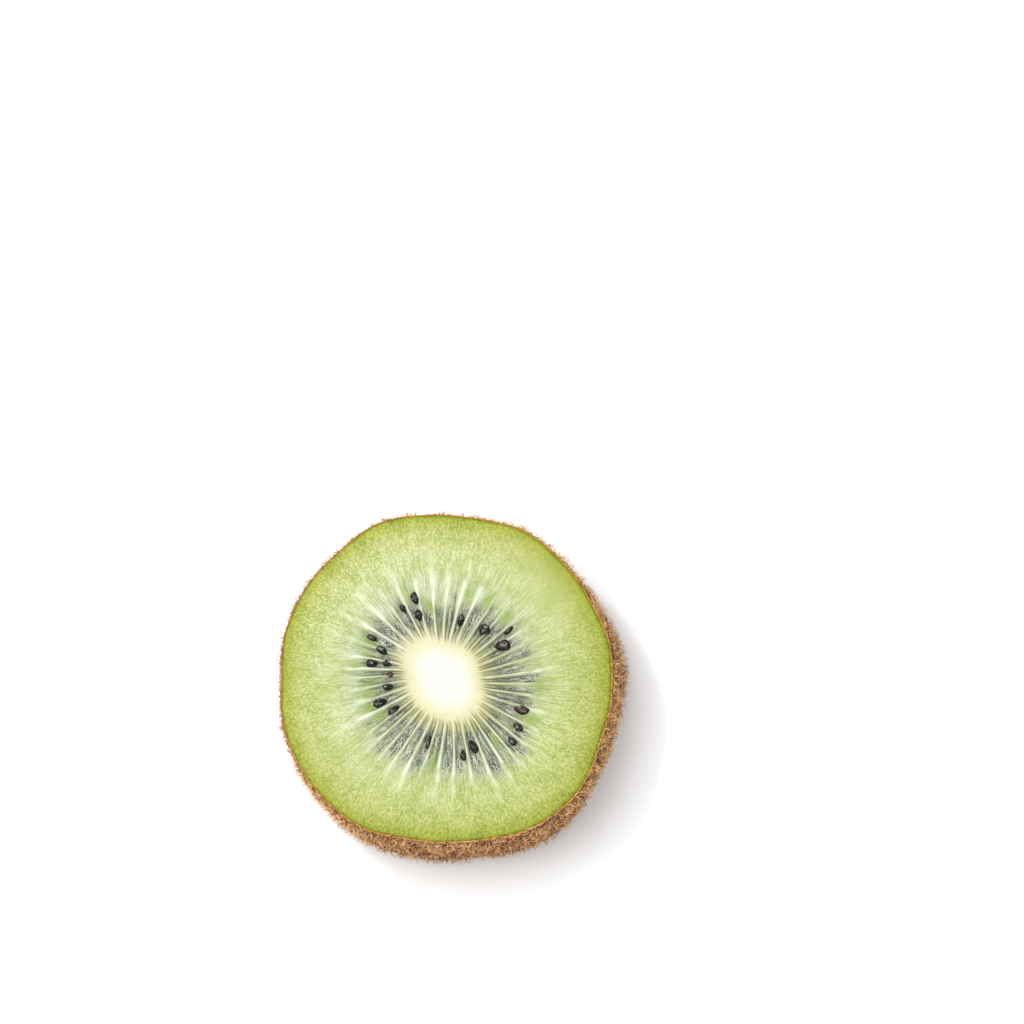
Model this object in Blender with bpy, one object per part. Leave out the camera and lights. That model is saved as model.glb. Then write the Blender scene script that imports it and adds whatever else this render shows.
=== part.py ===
"""A thick round slice of kiwi fruit that lies flat, with its wider cut face up.

The slice is one solid. The middle of its underside is at the origin, and +Z runs up through its core.
Directions are in degrees round +Z from +X, and every length is in metres.
"""

import math

import bmesh
import bpy
from mathutils import Matrix, Vector

# The whole fruit that the slice was cut from, at its widest.
FRUIT_RADIUS = 0.0256
FRUIT_LENGTH = 0.072
FRUIT_FULLNESS = 2.4
# The upper face's outline is uneven, and its middle is off the core: the number of bulges round it, their
# share of the radius, and where one of them is.
OUTLINE_WAVES = (
    (1, 0.0143, 145.6),
    (2, 0.0358, -55.9),
    (3, 0.0094, -29.8),
    (4, 0.0144, 40.2),
    (5, 0.0043, 15.6),
    (6, 0.0065, 0.8),
    (7, 0.0059, 2.9),
    (8, 0.0033, 17.5),
    (9, 0.0051, -12.5),
)
# How the lower face's outline departs from it: the number of bulges, their height, and where one of them is.
UNDERSIDE_WAVES = ((1, 0.00015, -54), (2, 0.0008, 35), (3, 0.0005, 12), (4, 0.0004, 24))
# Shallow lumps in the skin: how many round the fruit, their height, where one is, and how far they drift
# round it from the lower face to the upper one.
SKIN_LUMPS = ((9, 0.00010, 12, 70), (14, 0.00007, 3, -110))

# The slice.
THICKNESS = 0.0130
RIM_ROUNDING = 0.0004

# The pale core, which is wider along one direction.
CORE_RADIUS = 0.0070
CORE_WAVES = ((1, 0.07, -157), (2, 0.15, -54), (3, 0.03, 29), (4, 0.05, 41))
CORE_RISE = 0.00015

# The rays of firm flesh, with a sunken seed chamber between each two. Their spacing drifts slowly.
RAYS = 40
FIRST_RAY = 5.3
RAY_DRIFT = ((1, 2.6, 144), (2, 1.8, -147), (5, 0.7, 9), (6, 0.7, -170), (8, 0.7, 163))
# The rays fan out from a line along the core: how far they lean over at its edge, the line's direction, how
# soon they straighten, and the share of the way out to the rim where the drift above holds.
RAY_LEAN = 5.5
LEAN_AXIS = 133
LEAN_FADE = 2.7
DRIFT_AT = 0.33
CHAMBER_DEPTH = 0.00035
# Edges that run outwards, as shares of the way from one ray to the next, and how deep the chamber is there.
CHAMBER_SECTION = ((0.0, 0.0), (0.18, 0.8), (0.5, 1.0), (0.82, 0.8))
# Rings of edges from the core's edge to the rim, as shares of that way, and how deep the chambers are there.
CHAMBER_RUN = (
    (0.0, 0.1),
    (0.06, 0.7),
    (0.14, 1.0),
    (0.24, 1.0),
    (0.34, 0.9),
    (0.43, 0.5),
    (0.56, 0.15),
    (0.72, 0.0),
    (0.87, 0.0),
    (0.96, 0.0),
    (1.0, 0.0),
)
# Rings of edges inside the core, as shares of its radius.
CORE_RINGS = (0.5, 0.85)
# Rings of edges on the skin, as shares of the thickness.
SKIN_RINGS = (0.96, 0.8, 0.6, 0.4, 0.2, 0.03)

# Seeds: where each one lies, as a direction in degrees and a distance from the middle in millimetres.
SEEDS = (
    (28, 9.7),
    (36, 11.7),
    (51, 9.2),
    (76, 9.2),
    (110, 13.6),
    (112, 10.9),
    (120, 13.1),
    (148, 13.2),
    (153, 10.8),
    (162, 9.3),
    (165, 11.6),
    (173, 8.4),
    (185, 8.8),
    (198, 10.4),
    (210, 9.0),
    (255, 10.0),
    (282, 12.2),
    (291, 11.4),
    (314, 14.1),
    (323, 13.4),
    (334, 12.5),
)
MILLIMETRE = 0.001
SEED_LENGTH = 0.0020
SEED_WIDTH = 0.0012
SEED_HEIGHT = 0.0009
# How far a seed's middle lies under the rays' crests, and how much its two ends differ in width.
SEED_SUNK = 0.00022
SEED_TAPER = 0.35
SEED_SIDES = 6
SEED_BANDS = 4

# Edges sharper than this, in degrees, stay crisp where the rest is shaded smooth.
SHARP_EDGE = 40

# Colour, roughness and metallic value of each finish.
FINISHES = {
    "flesh": ((0.49, 0.62, 0.20, 1.0), 0.30, 0.0),
    "core": ((0.92, 0.88, 0.66, 1.0), 0.45, 0.0),
    "skin": ((0.33, 0.16, 0.07, 1.0), 0.90, 0.0),
    "seed": ((0.012, 0.008, 0.008, 1.0), 0.20, 0.0),
}


def clear_scene():
    """Removes the objects that the scene starts with."""
    for obj in list(bpy.data.objects):
        bpy.data.objects.remove(obj, do_unlink=True)


def make_finish(name):
    """A material with the colour, roughness and metallic value of one finish."""
    colour, roughness, metallic = FINISHES[name]
    material = bpy.data.materials.new(name)
    material.use_nodes = True
    material.diffuse_color = colour
    shader = material.node_tree.nodes["Principled BSDF"]
    shader.inputs["Base Color"].default_value = colour
    shader.inputs["Roughness"].default_value = roughness
    shader.inputs["Metallic"].default_value = metallic
    return material


def waves(direction, terms):
    """The sum of the waves at a direction. Each has its number of bulges, its size and where one bulge is."""
    return sum(size * math.cos(math.radians(count * (direction - crest))) for count, size, crest in terms)


def skin_radius(direction, height):
    """How far the skin is from the core's middle, at a direction and a height."""
    along = (THICKNESS - height) / (FRUIT_LENGTH / 2)
    profile = (1.0 - along**FRUIT_FULLNESS) ** (1.0 / FRUIT_FULLNESS)
    lower = (1.0 - height / THICKNESS) * waves(direction, UNDERSIDE_WAVES)
    lumps = sum(
        size * math.cos(math.radians(count * (direction - crest) + drift * height / THICKNESS))
        for count, size, crest, drift in SKIN_LUMPS
    )
    return FRUIT_RADIUS * profile * (1.0 + waves(direction, OUTLINE_WAVES)) + lower + lumps


def core_radius(direction):
    """How far the core's edge is from the middle."""
    return CORE_RADIUS * (1.0 + waves(direction, CORE_WAVES))


def ray_direction(number, share):
    """The direction of a ray, at a share of the way from the core's edge to the rim."""
    turn = 360.0 * number / RAYS
    drift = sum(size * math.cos(math.radians(count * turn - phase)) for count, size, phase in RAY_DRIFT)
    way = FIRST_RAY + turn + drift
    lean = RAY_LEAN * math.sin(math.radians(2.0 * (LEAN_AXIS - way)))
    return way + lean * ((1.0 - share) ** LEAN_FADE - (1.0 - DRIFT_AT) ** LEAN_FADE)


def columns(share):
    """The directions of the face's outward edges, at a share of the way to the rim, with each one's depth."""
    found = []
    for number in range(RAYS):
        start = ray_direction(number, share)
        width = ray_direction(number + 1, share) - start
        found += [(start + part * width, depth) for part, depth in CHAMBER_SECTION]
    return found


def upper_face_rows():
    """Rows of points on the upper cut face, from the core outwards."""
    rows = []
    for share in CORE_RINGS:
        height = THICKNESS + CORE_RISE * (1.0 - share**2)
        rows.append([point(way, share * core_radius(way), height) for way, _ in columns(0.0)])
    for share, run_depth in CHAMBER_RUN:
        row = []
        for way, depth in columns(share):
            core = core_radius(way)
            rim = skin_radius(way, THICKNESS) - RIM_ROUNDING
            height = THICKNESS - CHAMBER_DEPTH * depth * run_depth
            row.append(point(way, core + share * (rim - core), height))
        rows.append(row)
    return rows


def skin_rows():
    """Rows of points down the skin, from the upper rim to the lower one."""
    return [
        [point(way, skin_radius(way, share * THICKNESS), share * THICKNESS) for way, _ in columns(1.0)]
        for share in SKIN_RINGS
    ]


def point(direction, distance, height):
    """A point given by its direction, its distance from the middle and its height."""
    angle = math.radians(direction)
    return Vector((distance * math.cos(angle), distance * math.sin(angle), height))


def join_rows(bm, upper, lower, material_index):
    """Faces between two closed rows of points, facing away from the middle or up."""
    for index in range(len(upper)):
        after = (index + 1) % len(upper)
        face = bm.faces.new((upper[index], lower[index], lower[after], upper[after]))
        face.material_index = material_index


def close_row(bm, row, middle, upward, material_index):
    """A fan of faces between a closed row of points and one point in its middle."""
    centre = bm.verts.new(middle)
    for index in range(len(row)):
        ends = (row[index], row[(index + 1) % len(row)])
        face = bm.faces.new((centre, *ends) if upward else (centre, *reversed(ends)))
        face.material_index = material_index


def make_slice(materials):
    """The slice without its seeds: two cut faces, the upper one with rays and chambers, and the skin."""
    names = list(materials)
    face_rows = upper_face_rows()
    lower_rim = [point(way, skin_radius(way, 0.0) - RIM_ROUNDING, 0.0) for way, _ in columns(1.0)]
    bm = bmesh.new()
    rows = [[bm.verts.new(co) for co in row] for row in face_rows + skin_rows() + [lower_rim]]
    close_row(bm, rows[0], (0.0, 0.0, THICKNESS + CORE_RISE), True, names.index("core"))
    for number, (upper, lower) in enumerate(zip(rows, rows[1:])):
        if number < len(CORE_RINGS):
            finish = "core"
        elif number < len(face_rows) - 1:
            finish = "flesh"
        else:
            finish = "skin"
        join_rows(bm, upper, lower, names.index(finish))
    close_row(bm, rows[-1], (0.0, 0.0, 0.0), False, names.index("flesh"))
    mesh = bpy.data.meshes.new("kiwi_slice")
    bm.to_mesh(mesh)
    bm.free()
    for material in materials.values():
        mesh.materials.append(material)
    kiwi = bpy.data.objects.new("kiwi_slice", mesh)
    bpy.context.scene.collection.objects.link(kiwi)
    return kiwi


def make_seed(number, direction, distance, material, collection):
    """One seed, a flattened drop that lies along its ray with its narrow end towards the core."""
    bm = bmesh.new()
    bmesh.ops.create_uvsphere(bm, u_segments=SEED_SIDES, v_segments=SEED_BANDS, radius=0.5)
    # The ball's poles become the seed's two ends, so they are turned into the seed's length first.
    bmesh.ops.rotate(bm, verts=bm.verts, cent=(0, 0, 0), matrix=Matrix.Rotation(math.radians(90), 3, "Y"))
    for vert in bm.verts:
        width = 1.0 + SEED_TAPER * vert.co.x
        vert.co = Vector(
            (vert.co.x * SEED_LENGTH, vert.co.y * SEED_WIDTH * width, vert.co.z * SEED_HEIGHT * width)
        )
    mesh = bpy.data.meshes.new(f"seed_{number}")
    bm.to_mesh(mesh)
    bm.free()
    mesh.materials.append(material)
    seed = bpy.data.objects.new(f"seed_{number}", mesh)
    seed.location = point(direction, distance, THICKNESS - SEED_SUNK)
    seed.rotation_euler.z = math.radians(direction)
    collection.objects.link(seed)


def centre_on_origin(kiwi):
    """Moves the slice so that the middle of its box's underside is at the origin, in spite of its outline."""
    across = [vert.co.x for vert in kiwi.data.vertices]
    along = [vert.co.y for vert in kiwi.data.vertices]
    middle = Vector(((min(across) + max(across)) / 2, (min(along) + max(along)) / 2, 0.0))
    kiwi.data.transform(Matrix.Translation(-middle))


def fuse_seeds(kiwi, material):
    """Joins the seeds to the slice as one solid."""
    seeds = bpy.data.collections.new("seeds")
    bpy.context.scene.collection.children.link(seeds)
    for number, (direction, millimetres) in enumerate(SEEDS):
        make_seed(number, direction, millimetres * MILLIMETRE, material, seeds)
    union = kiwi.modifiers.new("fuse seeds", "BOOLEAN")
    union.operation = "UNION"
    union.operand_type = "COLLECTION"
    union.collection = seeds
    union.material_mode = "TRANSFER"
    bpy.context.view_layer.update()
    fused = bpy.data.meshes.new_from_object(kiwi.evaluated_get(bpy.context.evaluated_depsgraph_get()))
    kiwi.modifiers.remove(union)
    kiwi.data = fused
    for seed in list(seeds.objects):
        bpy.data.objects.remove(seed, do_unlink=True)
    bpy.data.collections.remove(seeds)


def main():
    clear_scene()
    materials = {name: make_finish(name) for name in FINISHES}
    kiwi = make_slice(materials)
    fuse_seeds(kiwi, materials["seed"])
    centre_on_origin(kiwi)
    kiwi.data.shade_smooth()
    kiwi.data.set_sharp_from_angle(angle=math.radians(SHARP_EDGE))


main()
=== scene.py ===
import math

import bpy
import numpy as np
from bpy.props import FloatProperty, FloatVectorProperty, IntProperty, PointerProperty
from mathutils import Matrix, Vector, noise


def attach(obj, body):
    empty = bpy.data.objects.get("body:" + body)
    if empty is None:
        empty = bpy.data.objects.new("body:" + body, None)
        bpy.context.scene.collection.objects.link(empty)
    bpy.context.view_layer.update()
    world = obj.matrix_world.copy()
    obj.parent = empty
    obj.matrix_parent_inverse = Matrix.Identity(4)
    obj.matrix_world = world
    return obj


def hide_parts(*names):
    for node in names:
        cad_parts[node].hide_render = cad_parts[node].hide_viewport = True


bl_info = {
    "name": "Kiwi Slice",
    "version": (1, 0, 0),
    "blender": (4, 5, 0),
    "location": "3D View > Sidebar > Kiwi Slice",
    "description": "Builds a thick round slice of kiwi fruit with seeds and fuzz, and a stage for it",
    "category": "Object",
}

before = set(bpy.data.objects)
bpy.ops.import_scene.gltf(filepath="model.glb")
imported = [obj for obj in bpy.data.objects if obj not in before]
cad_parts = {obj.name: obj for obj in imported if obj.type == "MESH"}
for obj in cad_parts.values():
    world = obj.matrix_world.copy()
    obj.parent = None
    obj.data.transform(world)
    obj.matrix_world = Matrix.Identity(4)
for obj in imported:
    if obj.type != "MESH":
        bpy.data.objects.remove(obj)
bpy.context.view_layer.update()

MM = 0.001

# The slice's own dimensions, which repeat those of its solid. Lengths are in metres, and directions in
# degrees round +Z from +X, about the middle of the core.
FRUIT_RADIUS = 0.0256
FRUIT_LENGTH = 0.072
FRUIT_FULLNESS = 2.4
THICKNESS = 0.0130
OUTLINE_WAVES = (
    (1, 0.0143, 145.6),
    (2, 0.0358, -55.9),
    (3, 0.0094, -29.8),
    (4, 0.0144, 40.2),
    (5, 0.0043, 15.6),
    (6, 0.0065, 0.8),
    (7, 0.0059, 2.9),
    (8, 0.0033, 17.5),
    (9, 0.0051, -12.5),
)
UNDERSIDE_WAVES = ((1, 0.00015, -54), (2, 0.0008, 35), (3, 0.0005, 12), (4, 0.0004, 24))
SKIN_LUMPS = ((9, 0.00010, 12, 70), (14, 0.00007, 3, -110))
CORE_RADIUS = 0.0070
CORE_WAVES = ((1, 0.07, -157), (2, 0.15, -54), (3, 0.03, 29), (4, 0.05, 41))
CORE_RISE = 0.00015
RAYS = 40
FIRST_RAY = 5.3
RAY_DRIFT = ((1, 2.6, 144), (2, 1.8, -147), (5, 0.7, 9), (6, 0.7, -170), (8, 0.7, 163))
RAY_LEAN = 5.5
LEAN_AXIS = 133
LEAN_FADE = 2.7
DRIFT_AT = 0.33

# How white each ray of firm flesh is, in order round the face.
RAY_WHITENESS = (
    (0.8, 0.4, 0.35, 0.6, 0.55, 0.4, 0.5, 1.0, 1.0, 1.0)
    + (1.0, 1.0, 0.9, 0.7, 1.0, 1.0, 0.5, 1.0, 0.9, 0.5)
    + (0.5, 0.5, 1.0, 0.7, 0.7, 0.6, 0.9, 1.0, 0.7, 1.0)
    + (1.0, 1.0, 1.0, 1.0, 0.9, 0.6, 0.7, 0.7, 0.6, 0.6)
)

# Seeds that show: direction, distance from the middle, length and width in millimetres, how many degrees
# each is turned from its ray, and how far it has sunk into the flesh, from 0 to 1.
SEEDS = (
    (28, 9.7, 2.15, 1.45, -18, 0.0),
    (36, 11.7, 1.45, 0.70, 8, 0.2),
    (51, 9.2, 1.60, 1.50, 0, 0.0),
    (76, 9.2, 1.70, 0.85, 0, 0.5),
    (110, 13.6, 2.00, 1.20, 8, 0.1),
    (112, 10.9, 1.55, 1.15, -6, 0.0),
    (120, 13.1, 1.20, 0.80, 0, 0.2),
    (148, 13.2, 1.60, 0.85, 0, 0.3),
    (153, 10.8, 1.70, 1.05, -10, 0.0),
    (162, 9.3, 1.40, 0.90, 5, 0.4),
    (165, 11.6, 1.60, 1.10, 12, 0.0),
    (173, 8.4, 1.30, 0.75, -12, 0.3),
    (185, 8.8, 1.50, 0.85, -6, 0.1),
    (198, 10.4, 1.85, 1.10, 4, 0.0),
    (210, 9.0, 1.85, 1.00, 6, 0.1),
    (255, 10.0, 1.90, 0.70, 3, 0.2),
    (282, 12.2, 1.60, 0.70, 0, 0.5),
    (291, 11.4, 2.00, 0.95, 4, 0.2),
    (314, 14.1, 1.60, 0.80, 0, 0.5),
    (323, 13.4, 1.50, 0.90, -4, 0.2),
    (334, 12.5, 2.10, 1.25, 8, 0.0),
)
# Seeds that lie under the surface and only darken it: direction, and distance in millimetres.
BURIED_SEEDS = (
    ((14, 12.2), (40, 10.4), (57, 12.4), (66, 11.3), (84, 12.6), (97, 10.6), (140, 12.6), (225, 11.6))
    + ((246, 9.8), (252, 13.2), (272, 12.2), (299, 14.3), (309, 14.0), (318, 14.2), (335, 9.4))
    + ((341, 12.0), (345, 10.3))
)
# Where clear green flesh shows at the outer end of a chamber: direction, and distance in millimetres.
GREEN_PATCHES = (
    ((44, 13.0), (61, 13.6), (75, 13.4), (102, 11.7), (116, 15.3), (152, 13.4), (161, 12.7), (169, 13.3))
    + ((180, 11.6), (188, 11.9), (199, 12.4), (208, 11.2), (262, 12.6), (306, 12.4), (330, 14.6))
    + ((352, 14.2),)
)
# The side where the flesh is smoothest, the side towards the lamps where painted light makes the flesh
# palest, and the side where the chambers are darkest.
CALM_SIDE = 42.0
PAINTED_LIGHT_SIDE = 130.0
DUSKY_SIDE = 45.0
# How far the hairs may reach out past the skin, and up past the upper face.
FUZZ_REACH = 0.00105
FUZZ_RISE = 0.00042
# The least height of a seed or a hair above the floor.
FLOOR_GAP = 0.00002

# How finely the flesh and the seeds are meshed, and where the rings of the flesh's wall are.
COLUMNS = 720
CORE_ROWS = 12
FACE_ROWS = 76
UNDERSIDE_ROWS = 30
WALL_HEIGHTS = (0.0128, 0.0090, 0.0045, 0.0004)
SEED_COLUMNS = 18
SEED_ROWS = 12

# The camera looks at the upper face from this far off its upright, towards this direction, and from this
# far away.
VIEW_TILT = 20.5
VIEW_DIRECTION = 300.0
VIEW_DISTANCE = 0.421
LENS = 100.0
SENSOR = 36.0
PICTURE_WIDTH = 1024
CORE_PIXEL = (445.7, 678.0)

# The lights: name, place, what it faces, size, power and colour.
LIGHTS = (
    ("key light", (-0.24, 0.09, 0.56), (0.0, 0.0, 0.0), 0.60, 2.8, (1.0, 0.99, 0.97)),
    ("glint light", (-0.22, 0.20, 0.50), (0.0, 0.0, 0.0), 0.06, 0.75, (1.0, 1.0, 1.0)),
    ("fill light", (0.14, -0.56, 0.20), (0.0, 0.0, 0.005), 0.30, 0.8, (1.0, 0.97, 0.92)),
)
SKY_COLOUR = (0.96, 0.98, 1.0, 1.0)
SKY_STRENGTH = 0.80


def srgb(red, green, blue):
    """A colour given in the usual 0 to 255, in the linear values that Blender keeps."""
    found = []
    for value in (red, green, blue):
        value /= 255.0
        found.append(value / 12.92 if value <= 0.04045 else ((value + 0.055) / 1.055) ** 2.4)
    return tuple(found)


def colour_property(name, description, red, green, blue):
    return FloatVectorProperty(
        name=name,
        description=description,
        default=srgb(red, green, blue),
        subtype="COLOR",
        min=0.0,
        max=1.0,
        size=3,
    )


def length_property(name, description, default):
    return FloatProperty(
        name=name, description=description, default=default, min=0.0, unit="LENGTH", precision=5
    )


def count_property(name, description, default, most):
    return IntProperty(name=name, description=description, default=default, min=0, max=most)


class KiwiSizes(bpy.types.PropertyGroup):
    """The sizes that a user would change."""

    skin_thickness: length_property("Skin thickness", "How thick the skin is", 0.00018)
    chamber_depth: length_property("Chamber depth", "How far the chambers sink between the rays", 0.00035)
    ray_height: length_property("Ray height", "How far the rays stand above the flesh round them", 0.00004)
    grain_height: length_property("Grain height", "How far the grains of the outer flesh stand up", 0.00004)
    seed_height: length_property("Seed height", "How thick a seed is", 0.0009)
    down_length: length_property("Down length", "Length of the short down on the skin", 0.00080)
    curl_length: length_property("Curl length", "Length of the curled hairs", 0.00155)
    stray_length: length_property("Stray length", "Length of the longest hairs", 0.00190)
    hair_width: length_property("Hair width", "How thick a hair is at its root", 0.00013)
    down_count: count_property("Down count", "How many short hairs", 8000, 12000)
    curl_count: count_property("Curl count", "How many curled hairs", 6500, 8500)
    stray_count: count_property("Stray count", "How many long hairs", 1500, 8500)


class KiwiColours(bpy.types.PropertyGroup):
    """The colours that a user would change."""

    core: colour_property("Core", "The middle of the core", 212, 209, 199)
    core_edge: colour_property("Core edge", "The core near its edge", 210, 205, 159)
    core_ring: colour_property("Core ring", "The flesh just outside the core", 190, 187, 127)
    inner_flesh: colour_property("Inner flesh", "The flesh between the chambers", 167, 174, 119)
    middle_flesh: colour_property("Middle flesh", "The flesh outside the chambers", 177, 184, 111)
    outer_flesh: colour_property("Outer flesh", "The flesh towards the skin", 169, 176, 90)
    near_rim: colour_property("Near the rim", "The flesh close to the skin", 150, 157, 44)
    rim_flesh: colour_property("Rim flesh", "The flesh just under the skin", 130, 136, 8)
    ray: colour_property("Rays", "The firm white rays", 216, 221, 200)
    feather: colour_property("Feathering", "The pale streaks beside the rays", 202, 209, 166)
    chamber: colour_property("Chambers", "The darker part of a seed chamber", 70, 73, 62)
    chamber_deep: colour_property("Chambers, deep", "The darkest specks of a seed chamber", 16, 15, 10)
    chamber_haze: colour_property("Chamber haze", "The hazy part of a seed chamber", 138, 146, 104)
    # The glints are painted highlights: the lamps' reflections on the wet chambers and on the seeds.
    glint: colour_property("Glints", "The bright specks of a seed chamber", 217, 222, 204)
    green_patch: colour_property("Green patches", "The clear green at a chamber's outer end", 132, 154, 54)
    slit: colour_property("Slits", "The dark lines along a chamber", 44, 44, 18)
    seed: colour_property("Seeds", "The edge of a seed", 6, 4, 4)
    seed_husk: colour_property("Seed husk", "The browner middle of a seed", 84, 68, 60)
    skin: colour_property("Skin", "The skin under its fuzz", 122, 62, 24)
    skin_edge: colour_property("Skin, cut edge", "The skin's cut edge", 208, 150, 86)
    skin_dark: colour_property("Skin, dark", "The darker patches of the skin", 90, 44, 18)
    # This colour is also the painted shade at the roots of the hairs.
    hair_dark: colour_property("Hair, dark", "The darkest hairs", 108, 44, 14)
    hair_light: colour_property("Hair, light", "The lightest hairs", 255, 207, 144)
    floor: colour_property("Floor", "The surface that the slice lies on", 249, 250, 251)


def rise(value, start, end):
    """Goes smoothly from 0 to 1 as the value goes from start to end."""
    share = np.clip((value - start) / (end - start), 0.0, 1.0)
    return share * share * (3.0 - 2.0 * share)


def window(value, start, full, fade, end):
    """Goes smoothly from 0 to 1 between the first two values, and back to 0 between the last two."""
    return rise(value, start, full) * (1.0 - rise(value, fade, end))


def bell(away, width):
    """A soft line or spot, 1 in its middle, from how far away each point is."""
    return np.exp(-((away / width) ** 2))


def waves(way, terms):
    """The sum of the waves at a direction. Each has its number of bulges, its size and one bulge's place."""
    return sum(size * np.cos(np.radians(count * (way - crest))) for count, size, crest in terms)


def skin_radius(way, height):
    """How far the skin is from the core's middle, at a direction and a height."""
    along = np.clip(THICKNESS - height, 0.0, THICKNESS) / (FRUIT_LENGTH / 2)
    profile = (1.0 - along**FRUIT_FULLNESS) ** (1.0 / FRUIT_FULLNESS)
    lower = (1.0 - height / THICKNESS) * waves(way, UNDERSIDE_WAVES)
    lumps = sum(
        size * np.cos(np.radians(count * (way - crest) + drift * height / THICKNESS))
        for count, size, crest, drift in SKIN_LUMPS
    )
    return FRUIT_RADIUS * profile * (1.0 + waves(way, OUTLINE_WAVES)) + lower + lumps


def core_radius(way):
    """How far the core's edge is from the middle."""
    return CORE_RADIUS * (1.0 + waves(way, CORE_WAVES))


def way_at(turn, run):
    """The direction of a place on the face. The turn is in even degrees round it, and the run goes from -1
    at the middle through 0 at the core's edge to 1 at the rim."""
    drift = sum(size * np.cos(np.radians(count * turn - phase)) for count, size, phase in RAY_DRIFT)
    way = FIRST_RAY + turn + drift
    lean = RAY_LEAN * np.sin(np.radians(2.0 * (LEAN_AXIS - way)))
    return way + lean * ((1.0 - np.clip(run, 0.0, 1.0)) ** LEAN_FADE - (1.0 - DRIFT_AT) ** LEAN_FADE)


def lane_spread(turn):
    """How much wider than even the gap between two rays is."""
    slope = 0.0
    for count, size, phase in RAY_DRIFT:
        slope += size * count * math.radians(1) * np.sin(np.radians(count * turn - phase))
    return 1.0 - slope


def even_turns():
    return np.arange(COLUMNS) * 360.0 / COLUMNS


def outline_middle():
    """The middle of the slice's outline, which the solid has at the origin, from the middle of the core."""
    way = np.arange(0.0, 360.0, 0.5)
    heights = np.linspace(0.0, THICKNESS, 14)[:, None]
    radius = skin_radius(way[None, :], heights)
    across, along = radius * np.cos(np.radians(way)), radius * np.sin(np.radians(way))
    return (across.min() + across.max()) / 2, (along.min() + along.max()) / 2


MIDDLE = outline_middle()


def pointing(way, third=0.0):
    """Steps of length 1 in the given directions, with a third coordinate."""
    x, y = np.cos(np.radians(way)), np.sin(np.radians(way))
    return np.stack([x, y, np.broadcast_to(third, x.shape)], -1)


def place(way, distance, height):
    """Points in the row's frame, from directions and distances about the core and heights."""
    angle = np.radians(way)
    x = distance * np.cos(angle) - MIDDLE[0]
    y = distance * np.sin(angle) - MIDDLE[1]
    return np.stack([x, y, np.broadcast_to(height, x.shape)], -1)


def noise_over(points):
    """Blender's smooth noise at each of many points, from -1 to 1."""
    flat = points.reshape(-1, 3)
    found = np.fromiter((noise.noise(Vector(p)) for p in flat), float, len(flat))
    return found.reshape(points.shape[:-1])


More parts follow.
